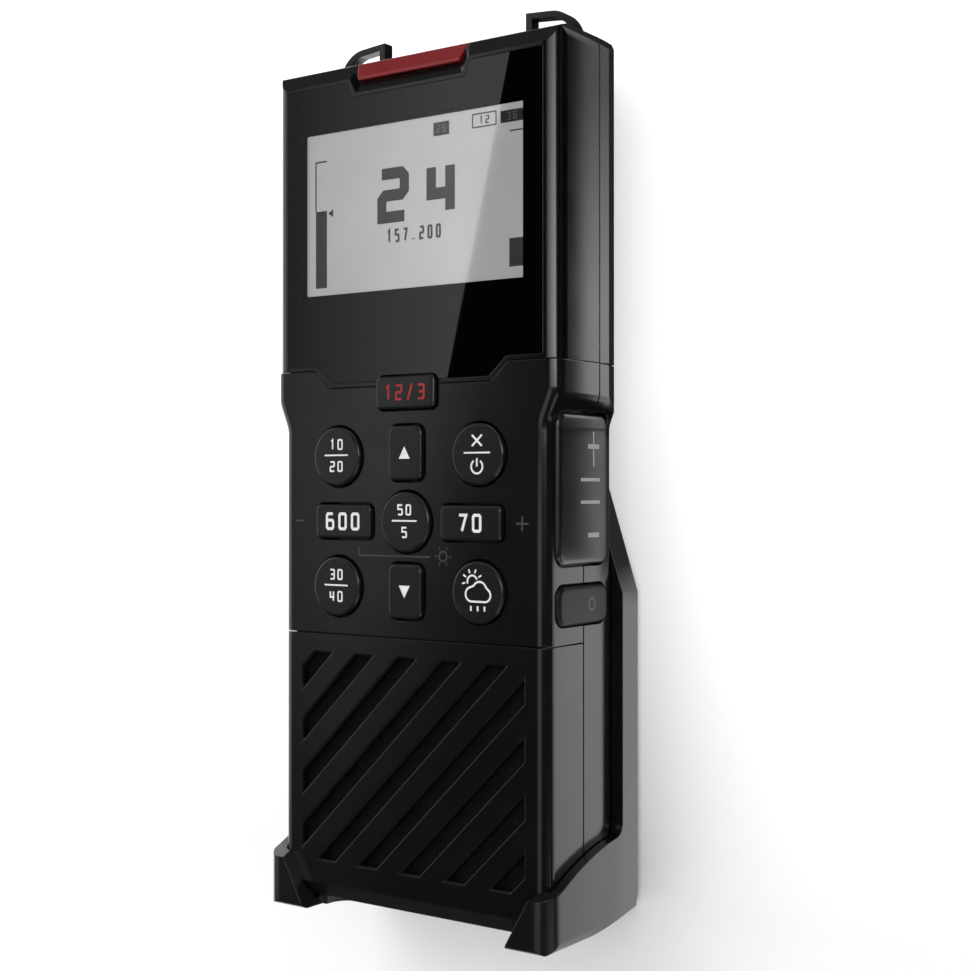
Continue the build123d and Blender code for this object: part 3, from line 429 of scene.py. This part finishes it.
def flat_piece(name, pieces, place, material, body):
    """One mesh of thin plates, from drawings in mm."""
    mesh = bpy.data.meshes.new(name)
    bm = bmesh.new()
    for i, piece in enumerate(pieces):
        lift = INK_THICKNESS + i * INK_STEP
        top = [bm.verts.new(place(u, v, lift)) for u, v in piece]
        low = [bm.verts.new(place(u, v, 0)) for u, v in piece]
        bm.faces.new(top)
        bm.faces.new(list(reversed(low)))
        for near in range(len(piece)):
            far = (near + 1) % len(piece)
            bm.faces.new((top[far], top[near], low[near], low[far]))
    bmesh.ops.recalc_face_normals(bm, faces=bm.faces)
    bm.to_mesh(mesh)
    bm.free()
    mesh.materials.append(material)
    thing = bpy.data.objects.new(name, mesh)
    bpy.context.collection.objects.link(thing)
    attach(thing, body)


# ---------------------------------------------------------------- the display's picture
def add_display_picture():
    """A channel number, a frequency, a level bar, badges and a soft key."""
    dark = make_ink("display_dark", (0.035, 0.038, 0.045))
    mid = make_ink("display_mid", (0.12, 0.125, 0.135))
    soft = make_ink("display_soft", (0.20, 0.20, 0.20))
    pale = make_ink("display_pale", (0.42, 0.42, 0.43))
    z = LCD_Z / MM
    open_badge = ribbon(box_outline(14.2, 19.4, z + 12.3, z + 14.7), 0.25, True)
    open_badge += number("12", 16.8, z + 13.5, 1.5, 0.9, 0.17)
    drawings = {
        "channel": (number("24", 1.6, z + 2.1, 10.4, 7.6, 0.21), dark),
        "frequency": (number("157.200", 0.6, z - 5.6, 2.6, 1.15), dark),
        "level_bar": ([box_outline(-23.5, -20.7, z - 14.2, z + 0.8)], dark),
        "level_scale": (ribbon([(-23.5, z + 0.8), (-23.5, z + 10.4), (-20.7, z + 10.4)], 0.3), mid),
        "level_arrow": ([[(-20.3, z + 0.2), (-19.1, z - 0.6), (-19.1, z + 1.0)]], dark),
        "badge": ([box_outline(5.3, 8.9, z + 11.9, z + 14.4)], dark),
        "badge_open": (open_badge, mid),
        "badge_right": ([box_outline(20.4, 25.4, z + 12.3, z + 14.5)], mid),
        "line_right": ([box_outline(22.4, 25.4, z + 10.6, z + 10.85)], mid),
        "soft_key": ([box_outline(22.3, 25.6, z - 13.6, z - 8.5)], soft),
    }
    for name, (drawing, ink) in drawings.items():
        flat_piece("display_" + name, drawing, on_front(LCD_FACE - 0.03), ink, "handset")
    digits = number("25", 7.1, z + 13.15, 1.4, 0.9, 0.17)
    digits += number("36", 22.9, z + 13.4, 1.4, 0.9, 0.17)
    flat_piece("display_badge_digits", digits, on_front(LCD_FACE - 0.05), pale, "handset")


# ---------------------------------------------------------------- legends
def two_rows(x, z, upper, lower):
    """A number over a line over a number."""
    pieces = number(upper, x, z + 2.3, 2.1)
    pieces += level(x - 2.9, x + 2.9, z + 0.25, 0.3)
    return pieces + number(lower, x, z - 1.9, 2.1)


def power_symbol(x, z):
    """A cross over a line over a ring with a bar."""
    pieces = ribbon([(x - 1.1, z + 1.5), (x + 1.1, z + 3.5)], 0.38)
    pieces += ribbon([(x - 1.1, z + 3.5), (x + 1.1, z + 1.5)], 0.38)
    pieces += level(x - 2.9, x + 2.9, z + 0.3, 0.3)
    pieces += ribbon(arc(x, z - 2.2, 1.25, 125, 415), 0.36)
    return pieces + upright(x, z - 2.2, z - 0.7, 0.36)


def weather_symbol(x, z):
    """A low sun behind a cloud, with three drops."""
    cloud = arc(x - 1.2, z - 0.3, 1.3, 100, 270, 10)
    cloud += arc(x + 1.8, z - 0.4, 1.2, -90, 60, 10)
    cloud += arc(x + 0.6, z + 0.5, 1.5, 20, 150, 10)
    pieces = ribbon(cloud, 0.36, True)
    sun = (x - 1.0, z + 2.0)
    pieces += ribbon(arc(*sun, 1.1, 20, 200, 10), 0.34)
    for angle in range(30, 200, 40):
        pieces += ray(*sun, angle, 1.6, 2.3, 0.3)
    for shift in (-1.3, 0.2, 1.7):
        pieces += upright(x + shift, z - 2.4, z - 3.3, 0.36)
    return pieces


def arrow(x, z, way):
    """A triangle that points up where way is 1 and down where it is -1."""
    return [[(x - 1.3, z - 1.1 * way), (x + 1.3, z - 1.1 * way), (x, z + 1.2 * way)]]


def add_legend(name, node, drawing, ink):
    """A legend on a key's face, which moves with the key."""
    flat_piece("legend_" + name, drawing, on_front(KEY_FACE), ink, node)


def add_legends():
    white = make_ink("legend_white", (0.75, 0.75, 0.75))
    red = make_ink("legend_red", (0.34, 0.012, 0.012))
    channels = number("12/3", *key_place("key_channel"), 3.0, 1.75, 0.15)
    add_legend("channel", "key_channel", channels, red)
    rows = {"key_upper_left": ("10", "20"), "key_ok": ("50", "5"), "key_lower_left": ("30", "40")}
    for node, texts in rows.items():
        add_legend(node, node, two_rows(*key_place(node), *texts), white)
    for node, text in {"key_left": "600", "key_right": "70"}.items():
        add_legend(node, node, number(text, *key_place(node), 3.4), white)
    for node, way in {"key_up": 1, "key_down": -1}.items():
        add_legend(node, node, arrow(*key_place(node), way), white)
    add_legend("power", "key_power", power_symbol(*key_place("key_power")), white)
    add_legend("weather", "key_weather", weather_symbol(*key_place("key_weather")), white)


def lamp_symbol(x, z):
    """A ring with six short rays."""
    pieces = ring(x, z, 0.9, 0.3)
    for angle in range(0, 360, 60):
        pieces += ray(x, z, angle, 1.3, 1.9, 0.25)
    return pieces


def add_marks():
    """Marks printed on the shell, the rocker and the side key."""
    faint = make_ink("mark_faint", (0.045, 0.045, 0.045))
    bright = make_ink("mark_bright", (0.36, 0.36, 0.36))
    z = key_place("key_ok")[1]
    signs = level(-27.7, -25.8, z, 0.35)
    signs += level(24.5, 27.1, z, 0.35)
    signs += upright(25.8, z - 1.3, z + 1.3, 0.35)
    signs += ribbon([(-11.7, z - 4.8), (-11.7, z - 6.4), (5.3, z - 6.4)], 0.3)
    signs += lamp_symbol(8.3, z - 6.2)
    flat_piece("mark_front", signs, on_front(FRONT), faint, "handset")
    _, y, z = middle("side_rocker")
    y += 3.2
    signs = level(y - 1.9, y + 1.9, z + 7.7, 0.85)
    signs += upright(y, z + 4.0, z + 10.4, 0.4)
    signs += level(y - 1.9, y + 1.9, z - 8.4, 0.85)
    signs += level(y - 4.4, y + 2.2, z + 1.65, 0.6)
    signs += level(y - 4.4, y + 2.2, z - 2.4, 0.6)
    flat_piece("mark_rocker", signs, on_right(ROCKER_FACE), bright, "side_rocker")
    _, y, z = middle("side_key")
    sign = ring(y + 2.6, z, 1.1, 0.35)
    flat_piece("mark_side_key", sign, on_right(SIDE_KEY_FACE), faint, "side_key")


# ---------------------------------------------------------------- studio
def bare_material(name):
    """A material with only its output node."""
    material = bpy.data.materials.new(name)
    material.use_nodes = True
    tree = material.node_tree
    tree.nodes.clear()
    return material, tree, add_node(tree, "ShaderNodeOutputMaterial").inputs["Surface"]


def add_shaders(tree, first, second):
    node = add_node(tree, "ShaderNodeAddShader")
    feed(tree, node.inputs[0], first.outputs[0])
    feed(tree, node.inputs[1], second.outputs[0])
    return node


def mix_shaders(tree, factor, first, second):
    """The first shader where the factor is 0, the second where it is 1."""
    node = add_node(tree, "ShaderNodeMixShader", Fac=factor)
    feed(tree, node.inputs[1], first.outputs[0])
    feed(tree, node.inputs[2], second.outputs[0])
    return node


def seen_directly(tree):
    """1 for rays of the camera, of reflections and of clear plastic."""
    path = add_node(tree, "ShaderNodeLightPath").outputs
    either = calculate(tree, "MAXIMUM", path["Is Camera Ray"], path["Is Glossy Ray"])
    return calculate(tree, "MAXIMUM", either, path["Is Transmission Ray"])


def add_stage_mesh(name, verts, faces, material):
    mesh = bpy.data.meshes.new(name)
    mesh.from_pydata(verts, [], faces)
    mesh.materials.append(material)
    thing = bpy.data.objects.new(name, mesh)
    bpy.context.collection.objects.link(thing)
    return thing


def make_sweep_material():
    """White paper with a painted glow, to the camera and in reflections, that grows up the wall and
    lightens the object's shadow towards the top; clear from behind.
    """
    material, tree, surface = bare_material("sweep")
    paper = add_node(tree, "ShaderNodeBsdfDiffuse", Color=PAPER)
    # painted light: the glow grows from none below z = -0.04 to full strength above z = 0.06, so the
    # object's shadow fades upwards
    strength = spread(tree, own_axes(tree)["Z"], 0.0, PAINTED_WALL_GLOW, -0.04, 0.06)
    glow = add_node(tree, "ShaderNodeEmission", Color=WHITE, Strength=strength)
    front = mix_shaders(tree, seen_directly(tree), paper, add_shaders(tree, paper, glow))
    clear = add_node(tree, "ShaderNodeBsdfTransparent")
    side = add_node(tree, "ShaderNodeNewGeometry").outputs["Backfacing"]
    feed(tree, surface, mix_shaders(tree, side, front, clear).outputs[0])
    return material


def add_sweep():
    """A white wall behind the cradle that curves into a floor; seen from behind it is clear."""
    half_width = 3.0
    wall_top = 2.2
    floor_z = -0.45
    floor_end = -3.0
    bend = 0.25
    turns = [radians(-6 * i) for i in range(1, 15)]
    profile = [(0.0, wall_top), (0.0, floor_z + bend)]
    profile += [(bend * (cos(t) - 1), floor_z + bend * (sin(t) + 1)) for t in turns]
    profile += [(-bend, floor_z), (floor_end, floor_z)]
    verts = [(x, y, z) for y, z in profile for x in (-half_width, half_width)]
    faces = [(2 * i, 2 * i + 2, 2 * i + 3, 2 * i + 1) for i in range(len(profile) - 1)]
    add_stage_mesh("sweep", verts, faces, make_sweep_material())


def add_card(name, corners, tone=0.0, ramps=()):
    """A card that only gloss and clear plastic see, as they see a studio's dark or lit sides.

    Each ramp is (axis, start, end, first, last): a share of the tone that changes along the axis.
    """
    material, tree, surface = bare_material(name)
    strength = tone
    for axis, start, end, first, last in ramps:
        share = spread(tree, own_axes(tree)[axis], first, last, start, end)
        strength = calculate(tree, "MULTIPLY", share, strength)
    glow = add_node(tree, "ShaderNodeEmission", Color=WHITE, Strength=strength)
    feed(tree, surface, glow.outputs[0])
    card = add_stage_mesh(name, corners, [tuple(range(len(corners)))], material)
    card.visible_camera = False
    card.visible_diffuse = False
    card.visible_shadow = False
    return card


def around(azimuth, elevation, distance):
    """A point seen from the object at this azimuth from the front, toward +X, and elevation."""
    a, e = radians(azimuth), radians(elevation)
    return (distance * sin(a) * cos(e), -distance * cos(a) * cos(e), 0.04 + distance * sin(e))


def patch(azimuths, elevations, distance):
    """Four corners of a card that covers these ranges of angles."""
    left, right = azimuths
    low, high = elevations
    return [around(a, e, distance) for a, e in ((left, low), (right, low), (right, high), (left, high))]


def shelf(across, deep, z):
    """Four corners of a level card."""
    (x0, x1), (y0, y1) = across, deep
    return [(x0, y0, z), (x1, y0, z), (x1, y1, z), (x0, y1, z)]


def add_front_cards():
    """A dark side in front of the handset, whose slanted left edge starts the glare of the lens."""
    y = -0.60
    right = 1.4
    edge_low = (-0.6358, y, CARD_LOW)
    edge_high = (-0.1287, y, CARD_HIGH)
    add_card("dark_front", [edge_low, (right, y, CARD_LOW), (right, y, CARD_HIGH), edge_high])
    side = [(right, y, CARD_LOW), (right, 0.0, CARD_LOW), (right, 0.0, CARD_HIGH), (right, y, CARD_HIGH)]
    add_card("dark_right", side)
    left = -0.84
    fade = [(left, y, CARD_LOW), edge_low, edge_high, (left, y, CARD_HIGH)]
    add_card("fade_left", fade, 1.0, [("X", -0.59, -0.41, 0.12, 1.0), ("Z", -0.22, 0.05, 0.12, 1.0)])


def add_strips():
    """Strips that light the rounded right edges of the head and of the grip."""
    rise = ("X", 0.0, 0.44, 0.08, 1.0)
    fall = ("Z", 0.12, 0.25, 1.0, 0.55)
    strip = add_card("strip_head", patch((0, 57), (4.5, 26), 0.56), 6.0, [rise, fall])
    strip.visible_transmission = False  # it would wash out the display in views from the left
    add_card("strip_grip", patch((-12, 20), (-30, 1), 0.56), 0.85, [("Z", -0.2, 0.05, 0.5, 1.0)])


def add_wall_card(name, across, up, tone, ramps=()):
    """A card against the wall."""
    (x0, x1), (z0, z1) = across, up
    y = -0.001
    add_card(name, [(x0, y, z0), (x1, y, z0), (x1, y, z1), (x0, y, z1)], tone, ramps)


def add_wall_cards():
    """What the right sides of the handset and the cradle reflect of the wall."""
    middle_x = -0.02
    cradle_x = 0.0325
    near_x = 0.0375
    far_x = 0.9
    low_z = -0.2
    heel_z = -0.028
    foot_z = -0.045
    rocker_z = 0.0245
    cradle_top = 0.048
    head_z = 0.053
    top_z = 0.5
    head = [("X", 0.0445, 0.0475, 1.0, 0.0), ("Z", 0.075, 0.115, 1.0, 0.36)]
    rocker = [("X", 0.039, 0.0445, 1.0, 0.0)]
    grip = [
        ("X", 0.042, 0.056, 1.0, 0.75),
        ("X", 0.07, 0.095, 1.0, 0.0),
        ("Z", -0.04, 0.01, 0.85, 1.0),
    ]
    lower = [("Z", 0.016, 0.025, 1.0, 0.1)]
    add_wall_card("beside_head", (near_x, far_x), (head_z, top_z), 2.1, head)
    add_wall_card("beside_rocker", (near_x, far_x), (rocker_z, head_z), 1.5, rocker)
    add_wall_card("beside_grip", (near_x, far_x), (low_z, rocker_z), 1.72, grip)
    add_wall_card("behind_head", (middle_x, near_x), (cradle_top, top_z), 0.05)
    add_wall_card("behind_grip", (middle_x, cradle_x), (heel_z, cradle_top), 1.72, lower)
    add_wall_card("behind_wing", (cradle_x, near_x), (foot_z, cradle_top), 1.72, lower)


def add_cards():
    add_front_cards()
    add_strips()
    add_wall_cards()
    add_card("dark_above", patch((-105, -25), (30, 68), 1.0), 0.12)
    add_card("dark_floor", shelf((-0.9, 0.1), (-0.30, -0.002), -0.19), 0.05)
    add_card("under_flare", shelf((0.0335, 0.12), (-0.03, -0.0015), 0.0495))


def add_key_light():
    """A large softbox, high on the left, that shows neither to the camera nor in reflections."""
    data = bpy.data.lights.new("key", "AREA")
    data.shape = "RECTANGLE"
    data.size = KEY_SIZE
    data.size_y = KEY_SIZE
    data.energy = KEY_RADIANCE * pi * KEY_SIZE ** 2
    lamp = bpy.data.objects.new("key", data)
    lamp.location = around(-30, 40, 1.3)
    aim = Vector((0, -0.015, 0.04)) - lamp.location
    lamp.rotation_euler = aim.to_track_quat("-Z", "Y").to_euler()
    lamp.visible_camera = False
    lamp.visible_glossy = False
    bpy.context.collection.objects.link(lamp)


def add_world():
    """White to the camera and in reflections, softer as a light."""
    world = bpy.data.worlds.new("studio")
    bpy.context.scene.world = world
    world.use_nodes = True
    tree = world.node_tree
    tree.nodes.clear()
    output = add_node(tree, "ShaderNodeOutputWorld")
    seen = add_node(tree, "ShaderNodeBackground", Color=WHITE, Strength=1.0)
    light = add_node(tree, "ShaderNodeBackground", Color=WHITE, Strength=WORLD_LIGHT)
    mix = mix_shaders(tree, seen_directly(tree), light, seen)
    feed(tree, output.inputs["Surface"], mix.outputs[0])


# ---------------------------------------------------------------- the whole scene
bpy.context.scene.view_settings.view_transform = "Standard"
add_camera()
add_world()
add_key_light()
add_sweep()
add_cards()
dress_nodes()
add_display_picture()
add_legends()
add_marks()
